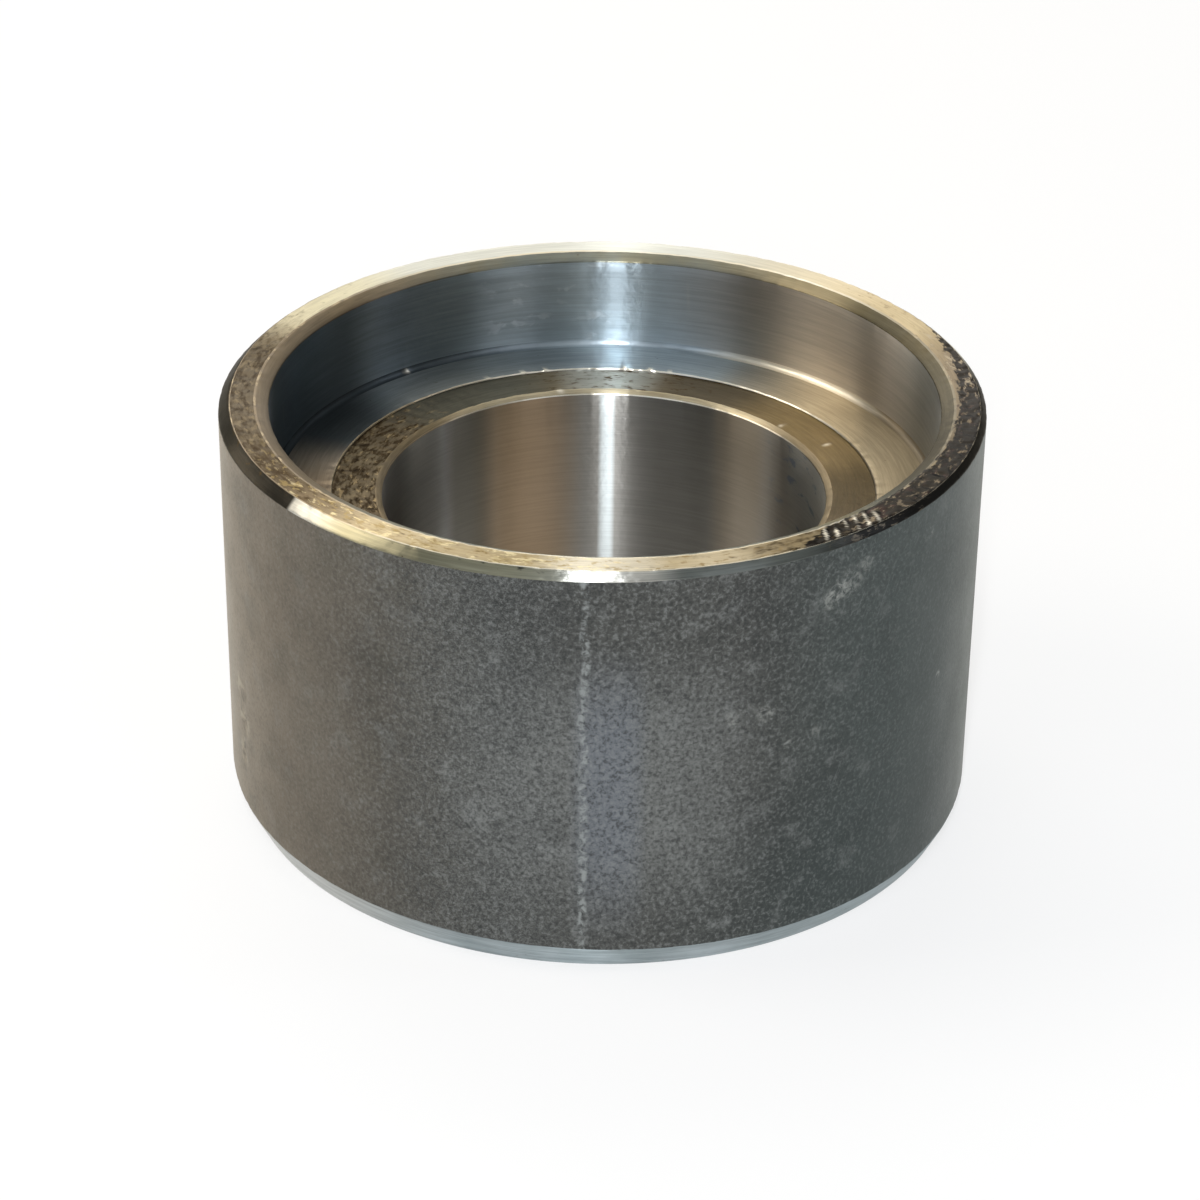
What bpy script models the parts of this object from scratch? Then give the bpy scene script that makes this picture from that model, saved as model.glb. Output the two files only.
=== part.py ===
"""Weld-on pipe bushing, turned from one length of thick steel tube.

The bushing keeps the tube's drawn outer skin. Its rim, socket, seat, bore and weld
bevel are turned in one chucking, so they share an axis that lies a little off the
skin's. Lengths are metres, +Z is up, and the origin is the centre of the foot.
"""

import math

import bpy

# Outer skin, as drawn. The turning axis lies SKIN_RUNOUT away from the skin's axis.
SKIN_DIAMETER = 0.1016
HEIGHT = 0.0580
SKIN_RUNOUT = 0.0004
RUNOUT_BEARING = math.radians(-35.0)

# Chamfer between the skin and the rim.
RIM_CHAMFER_WIDTH = 0.0012
RIM_CHAMFER_ANGLE = math.radians(45.0)

# Socket for the pipe's end, with the flared lead-in at its mouth.
SOCKET_DIAMETER = 0.0889
SOCKET_DEPTH = 0.0140
SOCKET_CORNER_RADIUS = 0.0008
LEAD_IN_WIDTH = 0.0018
LEAD_IN_DROP = 0.0009

# Seat that the pipe's end stands on, and the shallow relief inside it.
SEAT_WIDTH = 0.0080
RELIEF_DEPTH = 0.0004

# Bore, with the same small chamfer at both ends.
BORE_DIAMETER = 0.0596
BORE_CHAMFER_WIDTH = 0.0008
BORE_CHAMFER_DROP = 0.0005

# Weld bevel round the foot.
FOOT_BEVEL_WIDTH = 0.0019
FOOT_BEVEL_HEIGHT = 0.0037

# Facets in a full turn and in the corner arc, and how far a cut runs past a surface.
SIDES = 144
CORNER_STEPS = 3
OVERRUN = 0.0030

# Edges that turn by more than this stay crisp.
CRISP_ANGLE = math.radians(20.0)

# Radii and heights that follow from the sizes above.
SKIN_RADIUS = SKIN_DIAMETER / 2
RIM_RADIUS = SKIN_RADIUS - RIM_CHAMFER_WIDTH
SOCKET_RADIUS = SOCKET_DIAMETER / 2
MOUTH_RADIUS = SOCKET_RADIUS + LEAD_IN_WIDTH
SEAT_RADIUS = SOCKET_RADIUS - SEAT_WIDTH
BORE_RADIUS = BORE_DIAMETER / 2
SEAT_HEIGHT = HEIGHT - SOCKET_DEPTH
RELIEF_HEIGHT = SEAT_HEIGHT - RELIEF_DEPTH


def clear_scene():
    """Remove every object that the scene holds."""
    for item in list(bpy.data.objects):
        bpy.data.objects.remove(item, do_unlink=True)


def new_collection(name):
    """Add a collection under the scene's own."""
    collection = bpy.data.collections.new(name)
    bpy.context.scene.collection.children.link(collection)
    return collection


def tube_steel():
    """Dark grey steel of a drawn tube."""
    material = bpy.data.materials.new("tube_steel")
    material.use_nodes = True
    shader = material.node_tree.nodes["Principled BSDF"]
    shader.inputs["Base Color"].default_value = (0.16, 0.16, 0.15, 1.0)
    shader.inputs["Metallic"].default_value = 1.0
    shader.inputs["Roughness"].default_value = 0.5
    return material


def tube_length(collection):
    """Bar with the tube's skin and the bushing's height, not yet turned."""
    bpy.ops.mesh.primitive_cylinder_add(
        vertices=SIDES,
        radius=SKIN_RADIUS,
        depth=HEIGHT,
        location=(0.0, 0.0, HEIGHT / 2),
    )
    bar = bpy.context.object
    for owner in list(bar.users_collection):
        owner.objects.unlink(bar)
    collection.objects.link(bar)
    return bar


def turning_axis(collection):
    """Empty on the axis that the cuts turn about."""
    axis = bpy.data.objects.new("turning_axis", None)
    axis.location.x = SKIN_RUNOUT * math.cos(RUNOUT_BEARING)
    axis.location.y = SKIN_RUNOUT * math.sin(RUNOUT_BEARING)
    collection.objects.link(axis)
    return axis


def corner_points():
    """Points of the tool-nose arc from the socket's wall down to its seat."""
    centre_radius = SOCKET_RADIUS - SOCKET_CORNER_RADIUS
    centre_height = SEAT_HEIGHT + SOCKET_CORNER_RADIUS
    points = []
    for i in range(CORNER_STEPS + 1):
        turn = math.radians(90.0) * i / CORNER_STEPS
        radius = centre_radius + SOCKET_CORNER_RADIUS * math.cos(turn)
        height = centre_height - SOCKET_CORNER_RADIUS * math.sin(turn)
        points.append((radius, height))
    return points


def hollow_points():
    """Half section of the socket and bore, from above the rim to below the foot."""
    lead_in_flare = LEAD_IN_WIDTH / LEAD_IN_DROP
    bore_flare = BORE_CHAMFER_WIDTH / BORE_CHAMFER_DROP
    return [
        (0.0, HEIGHT + OVERRUN),
        (MOUTH_RADIUS + OVERRUN * lead_in_flare, HEIGHT + OVERRUN),
        (SOCKET_RADIUS, HEIGHT - LEAD_IN_DROP),
        *corner_points(),
        (SEAT_RADIUS, SEAT_HEIGHT),
        (SEAT_RADIUS, RELIEF_HEIGHT),
        (BORE_RADIUS + BORE_CHAMFER_WIDTH, RELIEF_HEIGHT),
        (BORE_RADIUS, RELIEF_HEIGHT - BORE_CHAMFER_DROP),
        (BORE_RADIUS, BORE_CHAMFER_DROP),
        (BORE_RADIUS + BORE_CHAMFER_WIDTH + OVERRUN * bore_flare, -OVERRUN),
        (0.0, -OVERRUN),
    ]


def rim_chamfer_points():
    """Half section of the ring that the rim's chamfer takes off the skin."""
    reach = RIM_CHAMFER_WIDTH + SKIN_RUNOUT + OVERRUN
    steepness = math.tan(RIM_CHAMFER_ANGLE)
    return [
        (RIM_RADIUS - OVERRUN, HEIGHT + OVERRUN * steepness),
        (RIM_RADIUS + reach, HEIGHT + OVERRUN * steepness),
        (RIM_RADIUS + reach, HEIGHT - reach * steepness),
    ]


def foot_bevel_points():
    """Half section of the ring that the weld bevel takes off the skin."""
    reach = SKIN_RUNOUT + OVERRUN
    flare = FOOT_BEVEL_WIDTH / FOOT_BEVEL_HEIGHT
    return [
        (SKIN_RADIUS + reach, FOOT_BEVEL_HEIGHT + reach / flare),
        (SKIN_RADIUS + reach, -OVERRUN),
        (SKIN_RADIUS - FOOT_BEVEL_WIDTH - OVERRUN * flare, -OVERRUN),
    ]


def turned_cutter(name, section, axis, collection):
    """Turn a half section once round the axis.

    A section that starts on the axis makes a solid, and any other closes to a ring.
    """
    points = [(radius, 0.0, height) for radius, height in section]
    edges = [(i, i + 1) for i in range(len(points) - 1)]
    if section[0][0] > 0.0:
        edges.append((len(points) - 1, 0))
    mesh = bpy.data.meshes.new(name)
    mesh.from_pydata(points, edges, [])
    cutter = bpy.data.objects.new(name, mesh)
    cutter.parent = axis
    cutter.hide_render = True
    cutter.display_type = "WIRE"
    collection.objects.link(cutter)
    screw = cutter.modifiers.new("turn", "SCREW")
    screw.axis = "Z"
    screw.angle = math.tau
    screw.steps = SIDES
    screw.render_steps = SIDES
    screw.use_merge_vertices = True
    screw.merge_threshold = 0.00001
    return cutter


def cut(body, cutter):
    """Take the cutter's solid out of the body."""
    boolean = body.modifiers.new(cutter.name, "BOOLEAN")
    boolean.operation = "DIFFERENCE"
    boolean.solver = "EXACT"
    boolean.object = cutter


def finish(body):
    """Apply the cuts, shade the round faces smooth and leave the turned edges crisp."""
    graph = bpy.context.evaluated_depsgraph_get()
    mesh = bpy.data.meshes.new_from_object(body.evaluated_get(graph))
    mesh.name = body.name
    body.modifiers.clear()
    body.data = mesh
    mesh.shade_smooth()
    mesh.set_sharp_from_angle(angle=CRISP_ANGLE)


def build_bushing(parts, cutters):
    """Cut the hollow, the rim's chamfer and the weld bevel from a length of tube."""
    bushing = tube_length(parts)
    bushing.name = "bushing"
    bushing.data.materials.append(tube_steel())
    axis = turning_axis(cutters)
    cut(bushing, turned_cutter("hollow", hollow_points(), axis, cutters))
    cut(bushing, turned_cutter("rim_chamfer", rim_chamfer_points(), axis, cutters))
    cut(bushing, turned_cutter("foot_bevel", foot_bevel_points(), axis, cutters))
    finish(bushing)


def main():
    """Model the weld-on bushing in an empty scene."""
    clear_scene()
    parts = new_collection("weld_on_bushing")
    cutters = new_collection("cutters")
    build_bushing(parts, cutters)


main()
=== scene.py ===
"""Looks of the weld-on bushing: its turned surface, its steel finishes and a studio."""

import math
from collections import namedtuple

import bpy
import numpy as np
from bpy.props import FloatProperty, FloatVectorProperty, PointerProperty
from mathutils import Euler, Matrix, Vector


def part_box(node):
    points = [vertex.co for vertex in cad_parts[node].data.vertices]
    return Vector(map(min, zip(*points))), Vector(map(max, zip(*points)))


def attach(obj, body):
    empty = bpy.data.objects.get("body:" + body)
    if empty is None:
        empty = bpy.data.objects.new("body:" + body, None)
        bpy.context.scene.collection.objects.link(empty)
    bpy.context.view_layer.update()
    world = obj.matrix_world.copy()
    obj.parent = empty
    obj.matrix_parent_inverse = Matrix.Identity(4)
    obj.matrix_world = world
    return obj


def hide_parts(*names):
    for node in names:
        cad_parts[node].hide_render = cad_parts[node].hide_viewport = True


bl_info = {
    "name": "Weld-on Bushing",
    "version": (1, 0, 0),
    "blender": (4, 5, 0),
    "location": "3D View > Sidebar > Bushing",
    "description": "Builds a turned weld-on bushing with its steel finishes and a studio",
    "category": "Add Mesh",
}

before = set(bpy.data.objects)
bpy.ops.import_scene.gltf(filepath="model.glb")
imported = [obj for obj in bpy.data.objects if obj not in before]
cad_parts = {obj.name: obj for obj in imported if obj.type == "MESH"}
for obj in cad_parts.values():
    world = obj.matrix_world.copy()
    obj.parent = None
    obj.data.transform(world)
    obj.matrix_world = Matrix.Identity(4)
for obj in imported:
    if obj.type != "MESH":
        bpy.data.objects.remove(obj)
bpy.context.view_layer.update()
NODE = "bushing"
NODE_LOW, NODE_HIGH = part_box(NODE)

MM = 0.001
UV_NAME = "turning"

# U of that map runs in decimetres.
DECIMETRES_PER_METRE = 10.0
MM_PER_DECIMETRE = 100.0

# Rounded, because it only sets how long the cells of the lathe rings are.
DEGREES_PER_RADIAN = 57.3

# Bearings are in degrees: 0 is behind the bushing, 90 its right, 180 the camera's side.

# Points round the surface, which crowd towards one bearing by this share of their
# spacing, and rows in each softened corner.
POINTS_ROUND = 768
CROWDED_BEARING = 112.0
CROWDING = 0.35
CORNER_ROWS = 3
SOCKET_CORNER_ROWS = 5

# Cosine waves in the smooth noise.
CLOUD_WAVES = 48

# Wear in millimetres: sizes of the noise on ragged edges, torn lumps and grit, and how
# deep each of them goes.
RAGGED_SIZE = 0.45
LUMP_SIZE = 0.28
GRIT_SIZE = 0.36
TORN_DEPTH = 0.09
RIM_GRIT_DEPTH = 0.045
RELIEF_GRIT_DEPTH = 0.015
RELIEF_LEFT_GRIT_DEPTH = 0.05

# Chatter on the rim: its middle in millimetres from the axis, its wave's length over two
# pi and its depth in millimetres, how much it slants, and the size of the breaks in it.
CHATTER_RADIUS = 48.0
CHATTER_WAVE = 0.27
CHATTER_DEPTH = 0.08
CHATTER_SLANT = 0.6
CHATTER_BREAK = 0.9

# One corner of the half section: how far it is softened, how ragged it is, its own
# finish, and the finish and the rows of the face that follows it.
Corner = namedtuple("Corner", "radius height soft ragged edge face rows")

# A dent, or with a negative depth a burr, in millimetres, at a bearing in degrees, and
# how far it is painted bright, as rubbed steel and as a painted glint.
Mark = namedtuple("Mark", "bearing radius height around across depth bright", defaults=(0.0,))

# Where the facing tool tore the rim's right side: bearings in degrees, and the radius in
# millimetres that the torn grain comes in to.
TORN_BEARINGS = (58.0, 64.0, 70.0, 75.0, 80.0, 88.0, 102.0, 121.0, 132.0, 143.0, 154.0)
TORN_RADII = (50.4, 49.5, 48.8, 48.1, 47.7, 46.9, 46.6, 46.3, 45.9, 46.3, 50.4)

# The skin's radius in millimetres, where its dents, scuffs and bruises lie.
SKIN_RADIUS = 50.8

MARKS = (
    # Knocks down the skin's left, and nicks under its top edge.
    Mark(247.4, SKIN_RADIUS, 22.6, 0.7, 1.0, 0.16),
    Mark(248.6, SKIN_RADIUS, 20.2, 0.5, 0.6, 0.12),
    Mark(248.2, SKIN_RADIUS, 16.9, 0.8, 1.3, 0.20),
    Mark(249.6, SKIN_RADIUS, 14.0, 0.6, 0.7, 0.12),
    Mark(249.0, SKIN_RADIUS, 11.7, 0.7, 1.2, 0.18),
    Mark(227.4, SKIN_RADIUS, 52.6, 0.9, 0.4, 0.10),
    Mark(229.3, SKIN_RADIUS, 53.2, 0.3, 0.5, 0.08),
    Mark(143.3, SKIN_RADIUS, 54.3, 0.9, 0.5, 0.07),
    Mark(120.3, SKIN_RADIUS, 51.4, 0.25, 0.9, 0.08),
    # Burrs in the socket's corner, along the seat's inner edge and on the relief.
    Mark(320.2, 44.3, 44.2, 0.30, 0.30, -0.22, 1.0),
    Mark(341.4, 36.6, 44.0, 0.30, 0.25, -0.16, 1.0),
    Mark(346.7, 36.6, 44.0, 0.25, 0.25, -0.18, 1.0),
    Mark(4.4, 36.6, 44.0, 0.28, 0.25, -0.18, 1.0),
    Mark(10.1, 36.6, 44.0, 0.35, 0.25, -0.16, 1.0),
    Mark(14.6, 36.6, 44.0, 0.22, 0.20, -0.12, 1.0),
    Mark(333.0, 36.6, 44.0, 0.22, 0.20, -0.12, 1.0),
    Mark(348.1, 30.4, 43.5, 0.40, 0.30, -0.16, 1.0),
    Mark(51.7, 31.4, 43.6, 0.30, 0.30, -0.18, 1.0),
    Mark(65.9, 33.7, 43.6, 0.28, 0.28, -0.16, 1.0),
    # Burrs on the socket's wall.
    Mark(281.4, 44.4, 49.9, 0.25, 0.35, -0.14, 1.0),
    Mark(15.3, 44.4, 52.0, 0.22, 0.30, -0.12, 1.0),
    Mark(21.2, 44.4, 51.2, 0.20, 0.20, -0.12, 1.0),
    Mark(305.0, 44.4, 45.6, 0.30, 0.20, -0.12, 1.0),
    # Dents on the rim.
    Mark(272.0, 49.2, 58.0, 0.5, 0.4, 0.10),
    Mark(196.0, 49.6, 57.8, 0.6, 0.35, 0.10),
    Mark(208.0, 46.3, 58.0, 0.5, 0.35, 0.10),
    Mark(166.0, 49.6, 57.9, 0.4, 0.3, 0.08),
    Mark(36.0, 46.3, 58.0, 0.5, 0.3, 0.08),
)

# Scuffs on the skin: bearing in degrees, height and reach in millimetres, and strength.
SCUFFS = (
    (160.9, 36.2, 1.5, 0.30),
    (158.6, 37.0, 1.3, 0.20),
    (155.8, 36.2, 1.7, 0.32),
    (152.1, 31.0, 0.9, 0.32),
    (147.5, 31.6, 1.0, 0.20),
    (146.0, 50.0, 1.9, 0.30),
    (144.4, 51.0, 2.2, 0.34),
    (142.2, 51.8, 2.8, 0.22),
    (139.4, 53.4, 1.6, 0.26),
    (125.3, 52.6, 1.4, 0.22),
    (119.7, 29.8, 0.9, 0.28),
)

# Bruises on the skin's left, painted as shade and highlight for their knocks, as bearing
# in degrees, and height and reach in millimetres.
BRUISES = ((250.2, 21.8, 3.2), (248.6, 17.2, 3.4), (249.4, 12.4, 2.8))

# Grain of the mill scale in millimetres, its detail and its curl, which its colour and
# its bump share, and the size in millimetres of the clouds in the scale and in oil films.
SCALE_GRAIN = (0.52, 3.0, 0.4)
SCALE_CLOUD = 17.0
FILM_CLOUD = 14.0


def hex_colour(code):
    """Turn an sRGB hex colour into the linear values that Blender shades with."""
    values = [int(code[i:i + 2], 16) / 255.0 for i in (1, 3, 5)]
    return tuple(v / 12.92 if v <= 0.04045 else ((v + 0.055) / 1.055) ** 2.4 for v in values)


def length(name, default, description):
    """Property for a length in metres."""
    return FloatProperty(
        name=name, default=default, description=description, unit="LENGTH", precision=4
    )


def colour(name, code, description):
    """Property for a colour, given as an sRGB hex code."""
    return FloatVectorProperty(
        name=name, default=hex_colour(code), description=description,
        subtype="COLOR", size=3, min=0.0, max=1.0,
    )


class BushingSizes(bpy.types.PropertyGroup):
    """Sizes of the turned ring."""

    skin_diameter: length("Skin diameter", NODE_HIGH[0] - NODE_LOW[0], "Across the drawn skin")
    height: length("Height", NODE_HIGH[2] - NODE_LOW[2], "From the foot to the rim")
    runout: length("Runout", 0.0004, "From the skin's axis to the turning axis")
    runout_bearing: FloatProperty(
        name="Runout bearing", default=math.radians(125.0), subtype="ANGLE",
        description="Bearing of the turning axis from the skin's axis",
    )
    rim_chamfer: length("Rim chamfer", 0.0012, "Width and drop of the rim's outer chamfer")
    socket_diameter: length("Socket diameter", 0.0889, "Across the socket's wall")
    socket_depth: length("Socket depth", 0.0140, "From the rim down to the seat")
    socket_corner: length("Socket corner", 0.0008, "Tool-nose radius at the seat")
    lead_in_width: length("Lead-in width", 0.0018, "How far the socket's mouth flares")
    lead_in_drop: length("Lead-in drop", 0.0009, "Depth of the flared mouth")
    seat_width: length("Seat width", 0.0080, "From the socket's wall to the relief")
    relief_depth: length("Relief depth", 0.0004, "Step from the seat down to the relief")
    bore_diameter: length("Bore diameter", 0.0596, "Across the bore")
    bore_chamfer_width: length("Bore chamfer width", 0.0008, "Width of the bore's chamfers")
    bore_chamfer_drop: length("Bore chamfer drop", 0.0005, "Depth of the bore's chamfers")
    bevel_width: length("Bevel width", 0.0019, "How far the weld bevel goes in")
    bevel_height: length("Bevel height", 0.0037, "How far the weld bevel goes up")


class BushingColours(bpy.types.PropertyGroup):
    """Colours of the steel and of what has settled on it."""

    scale: colour("Mill scale", "#555653", "Dark skin of the drawn tube")
    scale_dark: colour("Scale hollows", "#363838", "Hollows between the grains of scale")
    scale_light: colour("Scale grains", "#979a98", "Grains of scale rubbed bright")
    # The warm scale is a painted warm reflection on the skin's left.
    scale_warm: colour("Warm scale", "#7a7061", "Scale with a brown film of rust")
    # The cool scale is a painted cool reflection on the skin's right.
    scale_cool: colour("Cool scale", "#465251", "Scale with a blue-green temper")
    steel: colour("Turned steel", "#cfccc2", "Fresh steel from the lathe")
    faced: colour("Faced steel", "#c7ba9e", "Faced steel under a thin oil film")
    clean: colour("Clean steel", "#dbddd6", "Faced steel that was wiped clean")
    # Rubbed steel, which also stands as a painted glint on burrs, chatter and the socket's corner.
    rubbed_and_glint: colour("Rubbed steel", "#f1ead8", "Edges and burrs that are rubbed bright")
    oil: colour("Oil film", "#ab9a74", "Dried cutting oil")
    stain: colour("Stain", "#4f3f29", "Brown stain in pits and torn grain")
    torn: colour("Torn steel", "#15110f", "Dark, torn steel of the rim's right side")
    # The socket's blue is a painted cool reflection.
    blue: colour("Socket steel", "#c6d3d9", "Socket wall with a faint blue temper")
    # Painted shade for the socket's dark left.
    shade: colour("Dark socket", "#5a6368", "Oil-dark steel deep in the socket")
    bore: colour("Bore steel", "#a3a09a", "Smoothly bored steel")
    # The bore's brown is a painted warm reflection.
    brown: colour("Brown film", "#b2946d", "Brown film in the bore")
    bevel: colour("Bevel steel", "#b9c3c6", "Weld bevel, turned last and still bright")
    floor: colour("Floor", "#8c8c8b", "Pale studio floor")


def heading(bearing):
    """Unit direction on the ground of a bearing in degrees, as x and y."""
    turn = math.radians(bearing)
    return math.sin(turn), math.cos(turn)


def half_section(sizes, angle):
    """Corners of the half section, from the socket's mouth out, down, in and up again.

    The cuts share the turning axis, and the skin's radius from that axis is the far
    root of a circle seen from a point inside it, so it changes a little with the angle.
    """
    skin = sizes.skin_diameter / 2
    lag = angle - (math.pi / 2 - sizes.runout_bearing)
    reach = np.sqrt(skin**2 - (sizes.runout * np.sin(lag))**2) - sizes.runout * np.cos(lag)
    socket = sizes.socket_diameter / 2
    mouth = socket + sizes.lead_in_width
    seat_edge = socket - sizes.seat_width
    bore = sizes.bore_diameter / 2
    bore_mouth = bore + sizes.bore_chamfer_width
    rim = skin - sizes.rim_chamfer
    foot = skin - sizes.bevel_width
    top = sizes.height
    seat = top - sizes.socket_depth
    relief = seat - sizes.relief_depth
    bore_top = relief - sizes.bore_chamfer_drop
    bevel_top = (reach - foot) * sizes.bevel_height / sizes.bevel_width
    return [
        Corner(mouth, top, 0.18 * MM, 0.05 * MM, "rim_edge", "rim", 12),
        Corner(rim, top, 0.10 * MM, 0.05 * MM, "rim_edge", "rim_chamfer", 2),
        Corner(reach, top - (reach - rim), 0.14 * MM, 0.03 * MM, "rim_chamfer", "skin", 47),
        Corner(reach, bevel_top, 0.16 * MM, 0.04 * MM, "bevel", "bevel", 2),
        Corner(foot, 0.0, 0.16 * MM, 0.0, "bevel", "foot", 2),
        Corner(bore_mouth, 0.0, 0.12 * MM, 0.0, "bore_edge", "bore_edge", 1),
        Corner(bore, sizes.bore_chamfer_drop, 0.12 * MM, 0.0, "bore_edge", "bore", 5),
        Corner(bore, bore_top, 0.12 * MM, 0.02 * MM, "step_edge", "bore_edge", 1),
        Corner(bore_mouth, relief, 0.12 * MM, 0.04 * MM, "bore_edge", "relief", 7),
        Corner(seat_edge, relief, 0.08 * MM, 0.03 * MM, "relief", "relief", 0),
        Corner(seat_edge, seat, 0.20 * MM, 0.05 * MM, "step_edge", "seat", 4),
        Corner(socket, seat, sizes.socket_corner, 0.0, "corner", "socket", 4),
        Corner(socket, top - sizes.lead_in_drop, 0.14 * MM, 0.02 * MM, "lead_in", "lead_in", 2),
    ]


def unit(vectors):
    """Vectors of length one, along the last axis."""
    return vectors / np.linalg.norm(vectors, axis=-1, keepdims=True)


def section_rows(corners, count):
    """Rows of radius and height down the section, with each row's face and raggedness.

    A softened corner is a quadratic curve, (1-t)^2 start + 2t(1-t) corner + t^2 end,
    that starts and ends its softening distance from the corner. A face is split at the
    mean of s and (1 - cos(pi s)) / 2 for equal steps of s, so rows draw near its edges.
    """
    points = [
        np.stack([c.radius * np.ones(count), c.height * np.ones(count)], axis=-1) for c in corners
    ]
    rows, faces, ragged = [], [], []
    for i, corner in enumerate(corners):
        j = (i + 1) % len(corners)
        here, after = points[i], points[j]
        start = here + unit(points[i - 1] - here) * corner.soft
        end = here + unit(after - here) * corner.soft
        stop = after + unit(here - after) * corners[j].soft
        corner_rows = SOCKET_CORNER_ROWS if corner.face == "socket" else CORNER_ROWS
        for t in np.linspace(0.0, 1.0, corner_rows):
            rows.append((1 - t)**2 * start + 2 * t * (1 - t) * here + t**2 * end)
        for s in np.linspace(0.0, 1.0, corner.rows + 2)[1:-1]:
            share = (s + (1 - math.cos(math.pi * s)) / 2) / 2
            rows.append(end + (stop - end) * share)
        faces += [corner.edge] * (corner_rows - 1) + [corner.face] * (corner.rows + 1)
        ragged += [corner.ragged] * corner_rows + [0.0] * corner.rows
    return np.array(rows), faces, np.array(ragged)[:, None]


def cloud(points, size, seed):
    """Smooth noise of about unit strength: a sum of cosine waves in random directions.

    Each wave is cos(k . p + phase), where k has the length 1 / size on average.
    """
    random = np.random.default_rng(seed)
    total = np.zeros(points.shape[:-1])
    for wave in random.normal(0.0, 1.0 / size, (CLOUD_WAVES, 3)):
        total += np.cos(points @ wave + random.uniform(0.0, math.tau))
    return total / math.sqrt(CLOUD_WAVES / 2)


def sector(bearings, middle, half, soft):
    """One inside a sector of bearings in degrees, and zero past its soft edge."""
    away = np.abs((bearings - middle + 180.0) % 360.0 - 180.0)
    t = np.clip((half + soft - away) / (2 * soft), 0.0, 1.0)
    return t * t * (3 - 2 * t)


def worn(points, faces, ragged, bearings, centre):
    """Depth of wear in metres into the metal, how far the point is inside the torn metal
    in millimetres, and how bright it is.

    Ragged edges and torn grain are smooth noise. Chatter is a sine wave round the ring
    that slants with the radius. A mark is a bell curve, depth * exp(-(distance / size)^2),
    with its own size round the ring and across it.
    """
    on_rim = np.array([f in ("rim", "rim_edge") for f in faces])[:, None]
    on_relief = np.array([f == "relief" for f in faces])[:, None]
    radius = np.linalg.norm(points[..., :2] - centre, axis=-1)
    grit = (0.5 + 0.5 * cloud(points, GRIT_SIZE * MM, seed=3)).clip(0.0, 1.5)
    lumps = (0.5 + 0.5 * cloud(points, LUMP_SIZE * MM, seed=2)).clip(0.0, 1.5)
    depth = ragged * (0.5 + 0.5 * cloud(points, RAGGED_SIZE * MM, seed=1)).clip(0.0, 2.0)

    reach = np.interp(bearings, TORN_BEARINGS, TORN_RADII) * MM
    torn = ((radius - reach) / MM).clip(-1.0, 1.0) * on_rim - (1.0 - on_rim)
    left = sector(bearings, 268.0, 40.0, 15.0)
    torn_depth = (3.0 * torn).clip(0.0, 1.0) * lumps * TORN_DEPTH
    depth = depth + (torn_depth + on_rim * left * grit * RIM_GRIT_DEPTH) * MM
    relief_left = sector(bearings, 285.0, 50.0, 20.0)
    relief_grit = RELIEF_GRIT_DEPTH + RELIEF_LEFT_GRIT_DEPTH * relief_left
    depth = depth + on_relief * relief_grit * grit * MM

    round_ring = np.radians(bearings) * CHATTER_RADIUS * MM
    slant = CHATTER_SLANT * (radius - CHATTER_RADIUS * MM)
    wave = np.sin((round_ring - slant) / (CHATTER_WAVE * MM))
    chatter = on_rim * sector(bearings, 140.0, 6.5, 2.5)
    depth = depth + chatter * np.clip(wave + 0.2, 0.0, 1.0) * CHATTER_DEPTH * MM
    # Painted glints along the chatter's dashes.
    band = sector(radius / MM, CHATTER_RADIUS, 1.3, 0.4) * sector(bearings, 140.5, 5.5, 1.0)
    broken = 1.2 * cloud(points, CHATTER_BREAK * MM, seed=4)
    bright = on_rim * band * np.clip(-4.0 * wave - 3.0 + broken, 0.0, 1.0)
    for mark in MARKS:
        east, north = heading(mark.bearing)
        place = np.array([centre[0] + east * mark.radius * MM,
                          centre[1] + north * mark.radius * MM, mark.height * MM])
        offset = points - place
        around = offset @ np.array([north, -east, 0.0])
        across = (offset**2).sum(axis=-1) - around**2
        bell = np.exp(-(around / (mark.around * MM))**2 - across / (mark.across * MM)**2)
        depth = depth + mark.depth * MM * bell
        bright = bright + mark.bright * bell
    return depth, torn, bright.clip(0.0, 1.0)


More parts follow.
